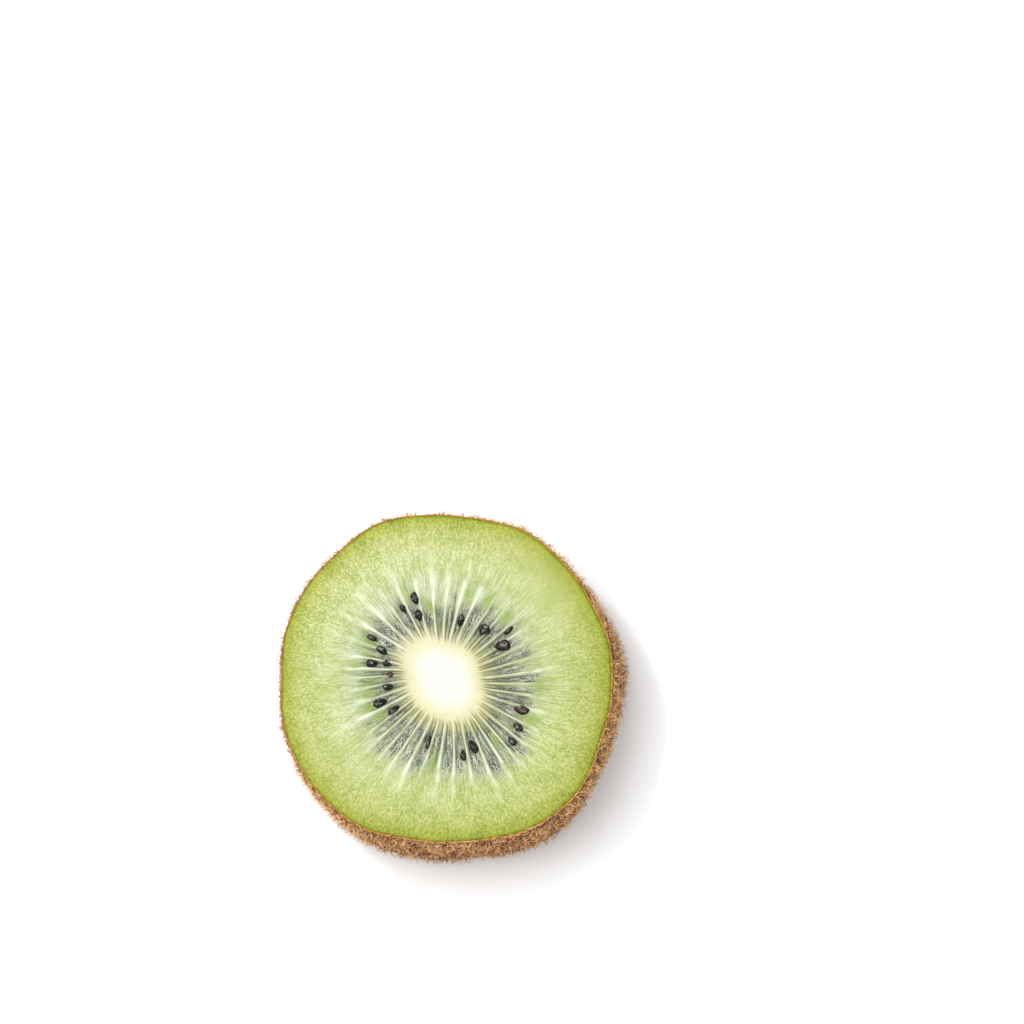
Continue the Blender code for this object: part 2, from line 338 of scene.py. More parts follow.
class Face:
    """One cut face: where its points are, and how much of a ray, a chamber and so on is at each of them."""

    def __init__(self, turns, runs, height, skin_thickness, seed, seeds):
        self.turn, self.run = np.meshgrid(turns, runs)
        self.way = way_at(self.turn, self.run)
        core = core_radius(self.way)
        rim = skin_radius(self.way, height) - skin_thickness
        inside = (1.0 + self.run) * core
        self.distance = np.where(self.run < 0, inside, core + self.run * (rim - core))
        self.fibre = pointing(self.turn, self.distance / MM / 10.0)
        self.rng = np.random.default_rng(seed)
        self.lay_lanes(seed)
        self.lay_rays()
        self.lay_chambers()
        self.lay_slits()
        self.calm = bell(self.way % 360.0 - CALM_SIDE, 24.0) * rise(self.run, 0.3, 0.7)
        # Painted light: how far each point lies towards the lamps' side, where the flesh is painted lighter,
        # with painted shade opposite.
        self.pale = 0.5 + 0.5 * np.cos(np.radians(self.way - PAINTED_LIGHT_SIDE))
        dusky = 0.35 * self.chamber * (0.5 + 0.5 * np.cos(np.radians(self.way - DUSKY_SIDE)))
        self.shade = np.maximum(self.blots(seeds, 1.5, 0.8), dusky)
        self.buried = self.blots(BURIED_SEEDS, 0.80, 0.40)
        self.green = self.blots(GREEN_PATCHES, 1.3, 0.75) * (1.0 - self.ray)

    def drawn(self, low, high, numbers):
        """A random value for each ray or lane, given to the points that have its number."""
        return self.rng.uniform(low, high, RAYS)[numbers]

    def lay_lanes(self, seed):
        """Finds the lane between two rays that each point is in, and how far off the nearer ray it is."""
        wobble = noise_over(self.fibre * (6.3, 6.3, 1.6) + (0.0, 0.0, seed))
        lane = (self.turn / (360.0 / RAYS) + 0.09 * wobble) % RAYS
        self.number = np.floor(lane).astype(int) % RAYS
        self.nearest = np.round(lane).astype(int) % RAYS
        self.share = lane - np.floor(lane)
        self.width = self.distance * math.radians(360.0 / RAYS) * lane_spread(self.turn)
        self.gap = np.minimum(self.share, 1.0 - self.share) * self.width
        self.patchy = noise_over(self.fibre * (22.0, 22.0, 6.0))

    def lay_rays(self):
        """Lays out the white rays, each as long and broad as it is white, and the pale flesh beside them."""
        run, nearest = self.run, self.nearest
        whiteness = np.array(RAY_WHITENESS)[nearest] * np.clip(0.80 + 0.8 * self.patchy, 0.0, 1.0)
        end = 0.48 + 0.26 * whiteness + self.drawn(-0.06, 0.06, nearest)
        breadth = self.drawn(0.7, 1.5, nearest) * (0.7 + 0.4 * whiteness)
        self.ray_width = (0.085 + 0.34 * np.clip(run, 0, 1) * breadth) * MM
        along = window(run, -0.24, -0.10, end - 0.34, end)
        self.ray = whiteness * bell(self.gap, self.ray_width) * along
        self.halo = whiteness * bell(self.gap, 0.5 * MM) * rise(run, 0.10, 0.35) * along

    def lay_chambers(self):
        """Lays out the seed chamber in each lane, and how far it sinks."""
        run, number = self.run, self.number
        self.end = 0.40 + 0.07 * np.cos(np.radians(self.way - 290)) + self.drawn(-0.06, 0.06, number)
        depth = self.drawn(0.6, 1.0, number)
        section = 1.0 - bell(self.gap, 0.28 * MM)
        self.hollow = section * window(run, -0.01, 0.14, self.end - 0.16, self.end + 0.06)
        clear = section * window(run, -0.04, 0.12, self.end - 0.20, self.end + 0.10)
        self.chamber = depth * clear * np.clip(0.85 + 0.6 * self.patchy, 0.3, 1.0)

    def lay_slits(self):
        """Lays out the thin dark lines along each chamber: beside its rays, and three between them."""
        run, number = self.run, self.number
        beside = bell(self.gap - self.ray_width - 0.15 * MM, 0.11 * MM)
        beside *= self.drawn(0.2, 1.0, number) * np.clip(0.5 + 1.6 * self.patchy, 0.0, 1.0)
        self.slit = beside * window(run, 0.06, 0.14, self.end - 0.14, self.end)
        for middle, most in ((0.28, 1.0), (0.50, 0.45), (0.72, 1.0)):
            at = middle + self.drawn(-0.07, 0.07, number)
            line = most * self.drawn(0.45, 1.0, number) * bell((self.share - at) * self.width, 0.105 * MM)
            start = self.drawn(-0.24, -0.10, number)
            stop = self.drawn(0.10, 0.42, number)
            self.slit = np.maximum(self.slit, line * window(run, start, start + 0.10, stop - 0.14, stop))

    def blots(self, places, length, width):
        """Soft spots at the given directions and distances, long along the rays. Sizes are in mm."""
        x, y = self.distance * np.cos(np.radians(self.way)), self.distance * np.sin(np.radians(self.way))
        found = np.zeros_like(x)
        for direction, millimetres in places:
            angle = math.radians(direction)
            away_x, away_y = x - millimetres * MM * math.cos(angle), y - millimetres * MM * math.sin(angle)
            along = away_x * math.cos(angle) + away_y * math.sin(angle)
            across = away_y * math.cos(angle) - away_x * math.sin(angle)
            found = np.maximum(found, bell(along, length * MM) * bell(across, width * MM))
        return found

    def relief(self, sizes):
        """How far each point lies above the level of the rays' crests."""
        core = np.where(self.run < 0, CORE_RISE * (1.0 - (1.0 + self.run) ** 2), 0.0)
        grain = noise_over(self.fibre * (60.0, 60.0, 20.0)) * sizes.grain_height
        grain = grain * rise(self.run, 0.30, 0.55) * (1.0 - 0.6 * self.calm)
        streak = noise_over(self.fibre * (70.0, 70.0, 5.0)) * 0.00005
        streak = streak * window(self.run, -0.25, 0.0, 0.4, 0.7)
        sunk = sizes.chamber_depth * self.hollow + 0.00010 * self.slit
        return core + grain + streak + sizes.ray_height * self.ray - sunk


def new_mesh(name, points, faces, places=()):
    """A mesh from points and faces. The places lay the corners of its faces out for baking."""
    mesh = bpy.data.meshes.new(name)
    mesh.from_pydata(points, [], faces)
    if places:
        layer = mesh.uv_layers.new(name="OFBake")
        layer.data.foreach_set("uv", np.concatenate([one.ravel() for one in places]).astype(np.float32))
    mesh.update()
    return mesh


def ring_mesh(name, rows, closed, spans=None):
    """A mesh through rings of points, where a row of one point is a cap. Closed, the last row joins the
    first. The spans lay each ring of faces out for baking, as a disc's middle, how far out its two edges
    are, and the sense in which it turns."""
    count = max(len(row) for row in rows)
    starts = np.cumsum([0] + [len(row) for row in rows])
    step = np.arange(count)
    pairs = list(zip(range(len(rows)), range(1, len(rows)))) + ([(len(rows) - 1, 0)] if closed else [])
    faces, places = [], []
    for ring, pair in enumerate(pairs):
        if len(rows[pair[0]]) == 1:
            corners = ((0, 0), (0, 1), (1, 1))
        elif len(rows[pair[1]]) == 1:
            corners = ((0, 0), (0, 1), (1, 0))
        else:
            corners = ((0, 0), (0, 1), (1, 1), (1, 0))
        index = [starts[pair[low]] + (step + ahead) % len(rows[pair[low]]) for ahead, low in corners]
        faces += np.stack(index, -1).tolist()
        if spans:
            middle, reach, sense = spans[ring]
            angles = [(step + ahead) * sense * math.tau / count for ahead, _ in corners]
            outs = [reach[low] for _, low in corners]
            across = [middle[0] + out * np.cos(angle) for out, angle in zip(outs, angles)]
            along = [middle[1] + out * np.sin(angle) for out, angle in zip(outs, angles)]
            places.append(np.stack([np.stack(across, -1), np.stack(along, -1)], -1))
    return new_mesh(name, np.concatenate(rows).tolist(), faces, places)


def set_attribute(mesh, name, values):
    """Keeps a number, or a vector, at each vertex for the material to read."""
    values = np.asarray(values, np.float32)
    kind = "FLOAT_VECTOR" if values.ndim == 2 else "FLOAT"
    attribute = mesh.attributes.new(name, kind, "POINT")
    attribute.data.foreach_set("vector" if values.ndim == 2 else "value", values.ravel())


def add_object(name, data):
    added = bpy.data.objects.new(name, data)
    bpy.context.scene.collection.objects.link(added)
    return added


def add_piece(name, mesh, material, replaces=True):
    """Puts a finished mesh in the scene as one piece of the slice, in place of the solid's own surface or on
    top of it."""
    mesh.materials.append(material)
    mesh.shade_smooth()
    piece = add_object(name, mesh)
    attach(piece, "root")
    if replaces:
        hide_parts("kiwi_slice")


class Finish:
    """A material, and short ways to add its nodes."""

    def __init__(self, name):
        self.material = bpy.data.materials.new(name)
        self.material.use_nodes = True
        self.tree = self.material.node_tree
        self.shader = self.tree.nodes["Principled BSDF"]

    def put(self, socket, value):
        if isinstance(value, bpy.types.NodeSocket):
            self.tree.links.new(value, socket)
        elif socket.type == "RGBA" and len(value) == 3:
            socket.default_value = (*value, 1.0)
        else:
            socket.default_value = value

    def set(self, **inputs):
        """Sets the shader's own sockets, whose names are given with _ for a space."""
        for name, value in inputs.items():
            self.put(self.shader.inputs[name.replace("_", " ")], value)

    def node(self, kind, inputs, output=0, **settings):
        """Adds a node with these settings and inputs, and gives back one of its outputs."""
        node = self.tree.nodes.new(kind)
        for name, value in settings.items():
            setattr(node, name, value)
        for name, value in inputs.items():
            self.put(node.inputs[name], value)
        return node.outputs[output]

    def attribute(self, name, output="Fac"):
        return self.node("ShaderNodeAttribute", {}, output, attribute_name=name)

    def place(self):
        return self.node("ShaderNodeTexCoord", {}, "Object")

    def stretched(self, vector, factors):
        return self.node("ShaderNodeVectorMath", {0: vector, 1: factors}, operation="MULTIPLY")

    def noise(self, vector, scale=1.0, detail=2.0, roughness=0.5):
        inputs = {"Vector": vector, "Scale": scale, "Detail": detail, "Roughness": roughness}
        return self.node("ShaderNodeTexNoise", inputs, "Fac")

    def cells(self, vector):
        """Goes from 0 in the middle of each small cell to 1 at its wall."""
        inputs = {"Vector": vector, "Scale": 1.0, "Smoothness": 0.35}
        return self.node("ShaderNodeTexVoronoi", inputs, "Distance", feature="SMOOTH_F1")

    def maths(self, operation, first, second=0.0):
        return self.node("ShaderNodeMath", {0: first, 1: second}, operation=operation)

    def times(self, first, second):
        return self.maths("MULTIPLY", first, second)

    def plus(self, first, second):
        return self.maths("ADD", first, second)

    def most(self, first, second):
        return self.maths("MAXIMUM", first, second)

    def between(self, value, start, end, low=0.0, high=1.0):
        """Goes smoothly from low to high as the value goes from start to end."""
        inputs = dict(enumerate((value, start, end, low, high)))
        return self.node("ShaderNodeMapRange", inputs, interpolation_type="SMOOTHSTEP")

    def mix_numbers(self, share, first, second):
        return self.node("ShaderNodeMix", {0: share, 2: first, 3: second})

    def mix(self, share, first, second, blend="MIX"):
        inputs = {0: share, 6: first, 7: second}
        return self.node("ShaderNodeMix", inputs, 2, data_type="RGBA", blend_type=blend)

    def tinted(self, colour, by):
        """A colour multiplied by another."""
        return self.mix(1.0, colour, by, "MULTIPLY")

    def over(self, base, colour, value, start, end, low=0.0, high=1.0):
        """Lays a colour over another, by a share that goes from low to high as the value goes from start to
        end."""
        return self.mix(self.between(value, start, end, low, high), base, colour)

    def faded(self, number, value, start, end, low=0.0, high=1.0):
        """A number times one that goes from low to high as the value goes from start to end."""
        return self.times(number, self.between(value, start, end, low, high))

    def bump(self, height, strength, distance):
        return self.node("ShaderNodeBump", {"Height": height, "Strength": strength, "Distance": distance})


class FleshFinish(Finish):
    """The finish of the cut flesh, from what the mesh keeps at its points and noise along its fibres."""

    def __init__(self, colours):
        super().__init__("kiwi flesh")
        self.colours = colours
        self.run = self.attribute("run")
        fibre = self.attribute("fibre", "Vector")
        self.grain = self.noise(self.stretched(fibre, (70.0, 70.0, 19.0)), detail=1.0)
        self.wall = self.cells(self.stretched(fibre, (72.0, 72.0, 20.0)))
        self.fine = self.noise(self.stretched(fibre, (125.0, 125.0, 54.0)), detail=1.0)
        self.glaze = self.noise(self.stretched(fibre, (100.0, 100.0, 6.5)))
        self.streak = self.noise(self.stretched(fibre, (86.0, 86.0, 4.2)))
        self.blotch = self.noise(self.stretched(fibre, (44.0, 44.0, 9.0)))
        self.slow = self.noise(self.place(), 330.0)
        self.chamber = self.faded(self.attribute("chamber"), self.streak, 0.30, 0.55, 0.6, 1.0)
        self.slit = self.times(self.attribute("slit"), 0.9)

    def grains(self):
        """How light the grain of the flesh is, from 0 to 1. It is weaker where the flesh is calm."""
        grains = self.plus(self.times(self.grain, 0.4), self.times(self.fine, 0.6))
        veins = self.between(self.maths("ABSOLUTE", self.plus(self.grain, -0.5)), 0.10, 0.0)
        pips = self.mix_numbers(0.4, self.between(self.wall, 0.70, 0.25), veins)
        grains = self.mix_numbers(0.55, self.between(grains, 0.40, 0.60), pips)
        grains = self.between(grains, 0.14, 0.90)
        streaky = self.between(self.run, 0.25, 0.80, 0.55, 0.15)
        grains = self.mix_numbers(streaky, grains, self.between(self.streak, 0.37, 0.63))
        calm = self.most(self.attribute("calm"), self.between(self.run, 0.80, 0.60, 0.0, 0.15))
        calm = self.most(calm, self.between(self.slow, 0.45, 0.65, 0.0, 0.3))
        return self.mix_numbers(self.times(calm, 0.75), grains, 0.5)

    def outer_flesh(self):
        """The grainy flesh from the core's edge out to the rim, painted lighter towards the lamps and shaded
        away from them.
        """
        colours = self.colours
        flesh = self.over(colours.core_ring, colours.inner_flesh, self.run, 0.0, 0.12)
        flesh = self.over(flesh, colours.middle_flesh, self.run, 0.35, 0.60)
        flesh = self.over(flesh, colours.outer_flesh, self.run, 0.56, 0.88)
        flesh = self.over(flesh, colours.near_rim, self.run, 0.82, 0.97)
        flesh = self.over(flesh, colours.rim_flesh, self.run, 0.955, 1.0)
        flesh = self.over(flesh, self.tinted(flesh, (0.86, 0.90, 0.72)), self.slow, 0.62, 0.38, 0.0, 0.8)
        # Painted light and shade: a shaded and a sunlit copy of the flesh, mixed by the side that the point
        # lies on.
        shaded, sunny = self.tinted(flesh, (0.95, 0.96, 0.86)), self.tinted(flesh, (1.06, 1.05, 1.20))
        flesh = self.mix(self.attribute("pale"), shaded, sunny)
        dark, light = self.tinted(flesh, (0.68, 0.73, 0.40)), self.tinted(flesh, (1.34, 1.28, 2.30))
        return self.mix(self.grains(), dark, light)

    def feathered(self, flesh):
        """Adds the pale feathering beside the rays."""
        feather = self.faded(self.between(self.run, 0.15, 0.35), self.run, 0.82, 0.45)
        feather = self.faded(feather, self.streak, 0.51, 0.63, 0.0, 0.55)
        feather = self.faded(feather, self.slow, 0.35, 0.60, 0.3, 1.0)
        feather = self.most(feather, self.times(self.attribute("halo"), 0.75))
        return self.mix(feather, flesh, self.colours.feather)

    def haze(self):
        """The hazy look of a seed chamber, with darker parts, dark specks and small bright painted
        highlights.
        """
        colours = self.colours
        haze = self.over(colours.chamber, colours.chamber_haze, self.blotch, 0.43, 0.57)
        haze = self.over(haze, colours.chamber_deep, self.glaze, 0.48, 0.41, 0.0, 0.95)
        # Painted highlights: small bright glints where the lamps would reflect off the wet chamber.
        haze = self.over(haze, colours.glint, self.glaze, 0.54, 0.62, 0.0, 0.55)
        return self.over(haze, colours.glint, self.fine, 0.54, 0.64, 0.0, 0.8)

    def chambered(self, flesh):
        """Adds the seed chambers, the shade round the seeds, sunken seeds, green patches and dark lines."""
        colours = self.colours
        flesh = self.over(flesh, self.haze(), self.chamber, 0.04, 0.62)
        shade = self.faded(self.attribute("shade"), self.blotch, 0.35, 0.6, 0.75, 0.30)
        flesh = self.mix(shade, flesh, colours.chamber_deep)
        sunk = self.faded(self.attribute("buried"), self.grain, 0.35, 0.6, 0.9, 0.4)
        flesh = self.mix(sunk, flesh, colours.chamber)
        flesh = self.mix(self.times(self.attribute("green"), 0.75), flesh, colours.green_patch)
        return self.mix(self.slit, flesh, colours.slit)

    def rayed(self, flesh):
        """Adds the firm white rays."""
        firm = self.over(self.colours.ray, self.colours.feather, self.run, 0.40, 0.70)
        ray = self.faded(self.attribute("ray"), self.fine, 0.30, 0.55, 0.65, 0.95)
        return self.mix(ray, flesh, firm)

    def cored(self, flesh):
        """Adds the core, whose edge runs out in fibres."""
        colours, run = self.colours, self.run
        edge = self.plus(run, self.faded(self.plus(self.streak, -0.5), run, -0.48, -0.08, 0.0, 0.5))
        crumb = self.plus(self.mix_numbers(0.5, self.grain, self.fine), -0.5)
        crumb = self.faded(crumb, run, -0.7, -0.3, 0.0, 1.7)
        core = self.over(colours.core, colours.core_edge, self.plus(edge, crumb), -0.58, -0.12)
        core = self.over(core, colours.core_edge, run, -0.95, -0.985, 0.0, 0.6)
        return self.mix(self.most(self.between(edge, -0.20, 0.0), self.slit), core, flesh)


def make_flesh_finish(colours):
    """Moist cut flesh, wetter in the seed chambers and smooth in the core."""
    finish = FleshFinish(colours)
    flesh = finish.feathered(finish.outer_flesh())
    flesh = finish.rayed(finish.chambered(flesh))
    wet = finish.between(finish.chamber, 0.1, 0.7)
    height = finish.plus(finish.times(finish.grain, 0.7), finish.times(finish.fine, 0.7))
    finish.set(
        Base_Color=finish.cored(flesh),
        Roughness=finish.mix_numbers(wet, 0.38, 0.18),
        Specular_IOR_Level=finish.mix_numbers(wet, 0.25, 0.4),
        Normal=finish.bump(finish.faded(height, finish.run, -0.6, -0.05), 0.7, 0.00016),
        Subsurface_Weight=0.08,
        Subsurface_Radius=(1.0, 1.1, 0.4),
        Subsurface_Scale=0.0006,
    )
    return finish.material


def make_skin_finish(colours):
    """Thin, dry, mottled brown skin."""
    finish = Finish("kiwi skin")
    place_on = finish.place()
    mottle = finish.noise(place_on, 420.0, 4.0, 0.6)
    pits = finish.noise(place_on, 2600.0, 2.0)
    base = finish.over(colours.skin_dark, colours.skin, mottle, 0.36, 0.62)
    base = finish.over(base, colours.skin_dark, pits, 0.40, 0.60, 0.0, 0.35)
    edge = finish.faded(finish.attribute("edge"), pits, 0.38, 0.60, 0.5, 1.0)
    base = finish.mix(edge, base, colours.skin_edge)
    rough = finish.bump(pits, 0.5, 0.0001)
    finish.set(Base_Color=base, Roughness=0.85, Specular_IOR_Level=0.2, Normal=rough)
    return finish.material


def make_seed_finish(colours):
    """Glossy seeds, nearly black at the edge and browner in the middle, with faint pits and pale specks of
    painted highlight.
    """
    finish = Finish("kiwi seeds")
    place_on = finish.place()
    husk = finish.noise(place_on, 1400.0, 2.0)
    pits = finish.noise(place_on, 5200.0, 2.0)
    crown = finish.attribute("crown")
    specks = finish.noise(place_on, 2900.0, 1.0)
    base = finish.mix(finish.faded(crown, husk, 0.44, 0.60), colours.seed, colours.seed_husk)
    # Painted highlights: pale specks on the seeds' crowns stand in for the lamps' reflections.
    base = finish.mix(finish.faded(crown, specks, 0.61, 0.70, 0.0, 0.5), base, colours.glint)
    finish.set(
        Base_Color=base,
        Roughness=finish.between(pits, 0.3, 0.7, 0.10, 0.22),
        Normal=finish.bump(finish.plus(pits, husk), 0.5, 0.00008),
        Specular_IOR_Level=0.2,
        Coat_Weight=0.2,
        Coat_Roughness=0.05,
    )
    return finish.material


def make_hair_finish(colours, name):
    """Fuzz, from dark hairs to light ones, each darker at its root with painted shade."""
    finish = Finish(name)
    tint = finish.attribute("tint")
    along = finish.attribute("along")
    grain = finish.noise(finish.place(), 1500.0, 2.0)
    shade = finish.plus(tint, finish.times(finish.plus(grain, -0.5), 0.5))
    base = finish.over(colours.hair_dark, colours.hair_light, shade, 0.05, 0.95)
    # Painted shade: each hair darkens towards its root, where the hairs round it shade it.
    base = finish.over(base, colours.hair_dark, along, 0.0, 0.5, 0.75, 0.0)
    finish.set(Base_Color=base, Roughness=0.55, Specular_IOR_Level=0.35)
    return finish.material


def lay_out_flesh(upper, lower, walls):
    """Lays out the upper face and its wall for baking as a large disc, and the underside as a small one."""
    widest = upper.distance.max()
    outs = [0.0, *(0.97 * upper.distance.mean(1) / widest)]
    outs += [0.97 + 0.03 * (number + 1) / walls for number in range(walls)]
    under = [1.0, *(0.98 * lower.distance.mean(1) / widest), 0.0]
    large, small = ((0.36, 0.64), 0.355), ((0.78, 0.22), 0.215)
    spans = []
    for (middle, radius), reaches, sense in ((large, outs, 1), (small, under, -1)):
        for near, far in zip(reaches, reaches[1:]):
            spans.append((middle, (radius * near, radius * far), sense))
    return spans


def build_flesh(sizes, colours):
    """The cut flesh as one closed mesh: the upper face, the wall inside the skin, and the underside."""
    turns = even_turns()
    core_runs = np.linspace(-1.0, 0.0, CORE_ROWS + 1)[1:-1]
    upper_runs = np.concatenate([core_runs, np.linspace(0.0, 1.0, FACE_ROWS)])
    lower_runs = np.linspace(1.0, -0.92, UNDERSIDE_ROWS)
    upper_seeds, lower_seeds = ([seed[:2] for seed in seeds] for seeds in (SEEDS, underside_seeds()))
    upper = Face(turns, upper_runs, THICKNESS, sizes.skin_thickness, seed=4, seeds=upper_seeds)
    lower = Face(turns, lower_runs, 0.0, sizes.skin_thickness, seed=9, seeds=lower_seeds)
    rim_fall = 0.00012 * rise(upper.run, 0.985, 1.0)
    upper_points = place(upper.way, upper.distance, THICKNESS + upper.relief(sizes) - rim_fall)
    lower_points = place(lower.way, lower.distance, np.clip(-lower.relief(sizes), 0.0, 0.0006))
    rim_way = way_at(turns, 1.0)
    walls = []
    for height in WALL_HEIGHTS:
        walls.append(place(rim_way, skin_radius(rim_way, height) - 0.9 * sizes.skin_thickness, height))
    top = place(np.zeros(1), np.zeros(1), THICKNESS + CORE_RISE)
    bottom = place(np.zeros(1), np.zeros(1), 0.0)
    rows = [top, *upper_points, *walls, *lower_points, bottom]
    mesh = ring_mesh("kiwi_flesh", rows, False, lay_out_flesh(upper, lower, len(walls)))

    def everywhere(name, at_top, at_wall, at_bottom):
        """One value at each vertex, in the order of the rows."""
        up, low = getattr(upper, name), getattr(lower, name)
        one = (1,) + up.shape[2:]
        wall = np.full((len(walls),) + up.shape[1:], at_wall)
        parts = (np.full(one, at_top), up, wall, low, np.full(one, at_bottom))
        return np.concatenate([part.reshape((-1,) + up.shape[2:]) for part in parts])

    set_attribute(mesh, "run", everywhere("run", -1.0, 1.0, -1.0))
    for name in ("ray", "halo", "chamber", "slit", "shade", "buried", "green", "calm", "pale"):
        set_attribute(mesh, name, everywhere(name, 0.0, 0.0, 0.0))
    fibre = everywhere("fibre", 0.0, 0.0, 0.0)
    for number in range(len(walls)):
        first = 1 + (len(upper_points) + number) * COLUMNS
        fibre[first : first + COLUMNS] = pointing(turns, 2.6 + 0.1 * number)
    set_attribute(mesh, "fibre", fibre)
    add_piece("kiwi_flesh", mesh, make_flesh_finish(colours))


def build_skin(sizes, colours):
    """The skin as a thin closed shell round the flesh, with low bumps."""
    way = way_at(even_turns(), 1.0)
    thick = sizes.skin_thickness
    outline = [(1.0, 0.01290), (0.55, 0.01299), (0.15, 0.01294)]
    outline += [(0.0, height) for height in np.linspace(0.01275, 0.0003, 28)]
    outline += [(0.25, 0.00008), (0.8, 0.00002), (1.0, 0.00030)]
    outline += [(1.0, height) for height in (0.003, 0.006, 0.009)]
    rows = []
    for inset, height in outline:
        row = place(way, skin_radius(way, height) - inset * thick, height)
        if inset < 0.2:
            bumps = noise_over(row * 900.0) * 0.00004 + noise_over(row * 2300.0) * 0.00002
            away = row.copy()
            away[:, 2] = 0.0
            row = row + away / np.linalg.norm(away, axis=1, keepdims=True) * bumps[:, None]
        rows.append(row)
    mesh = ring_mesh("kiwi_skin", rows, True)
    edge = rise(np.array([height for _, height in outline]), 0.0124, 0.0128)
    set_attribute(mesh, "edge", np.repeat(edge, COLUMNS))
    add_piece("kiwi_skin", mesh, make_skin_finish(colours))


def underside_seeds():
    """The seeds of the other cut face, roughly where those of the upper face are, and sunk further in."""
    rng = np.random.default_rng(11)
    return [
        (-direction + rng.uniform(-6, 6), distance, length, width, lean, 0.3 + 0.7 * sunk)
        for direction, distance, length, width, lean, sunk in SEEDS
    ]


def seed_drop(number, length, width, height):
    """One seed's points in millimetres, lying along X with its narrow end inward, and how near its crown or
    its underside each of them is."""
    drop = [(0.5, 0.0, 0.0)]
    for band in np.arange(1, SEED_ROWS) * math.pi / SEED_ROWS:
        out = math.cos(band) * 0.5
        girth = math.sin(band) * 0.5 * (1.0 + 0.26 * out * 2.0 * (1.0 - 0.25 * abs(out) * 2.0))
        for angle in np.arange(SEED_COLUMNS) * math.tau / SEED_COLUMNS:
            drop.append((out, girth * math.cos(angle), girth * math.sin(angle)))
    drop.append((-0.53, 0.0, 0.0))
    drop = np.array(drop)
    uneven = 1.0 + 0.22 * noise_over(drop * 2.6 + (0.0, 0.0, 7.0 * number))
    return drop * uneven[:, None] * (1.10 * length, 1.05 * width, height), np.abs(drop[:, 2]) * 2.0


def seed_faces(first):
    """The faces of one seed whose points start at the given number."""
    step = np.arange(SEED_COLUMNS)
    after = (step + 1) % SEED_COLUMNS
    faces = np.stack([np.full(SEED_COLUMNS, first), first + 1 + step, first + 1 + after], -1).tolist()
    last = first + 1 + (SEED_ROWS - 2) * SEED_COLUMNS
    for near in range(first + 1, last, SEED_COLUMNS):
        far = near + SEED_COLUMNS
        faces += np.stack([near + step, far + step, far + after, near + after], -1).tolist()
    tip = np.full(SEED_COLUMNS, last + SEED_COLUMNS)
    return faces + np.stack([last + after, last + step, tip], -1).tolist()


def build_seeds(sizes, colours):
    """The seeds of both cut faces, flattened drops with a narrow end towards the core."""
    points, faces, crowns = [], [], []
    shown = [(*seed, True) for seed in SEEDS] + [(*seed, False) for seed in underside_seeds()]
    for number, (direction, distance, length, width, lean, sunk, upper) in enumerate(shown):
        height = sizes.seed_height / MM * (0.85 + 0.15 * width)
        drop, crown = seed_drop(number, length, width, height)
        crowns += crown.tolist()
        faces += seed_faces(len(points))
        turned = math.radians(direction + lean)
        x = drop[:, 0] * math.cos(turned) - drop[:, 1] * math.sin(turned)
        y = drop[:, 0] * math.sin(turned) + drop[:, 1] * math.cos(turned)
        centre = place(np.array([direction]), np.array([distance * MM]), 0.0)[0]
        under = (0.16 + 0.34 * sunk) * MM
        level = THICKNESS - under if upper else max(under, 0.5 * height * MM + 2.0 * FLOOR_GAP)
        z = np.maximum(drop[:, 2] * MM + level, FLOOR_GAP)
        points += np.stack([x * MM + centre[0], y * MM + centre[1], z], -1).tolist()
    mesh = new_mesh("kiwi_seeds", points, faces)
    set_attribute(mesh, "crown", rise(np.array(crowns), 0.55, 0.95))
    add_piece("kiwi_seeds", mesh, make_seed_finish(colours))


def unit(vectors):
    return vectors / np.maximum(np.linalg.norm(vectors, axis=-1, keepdims=True), 1e-12)


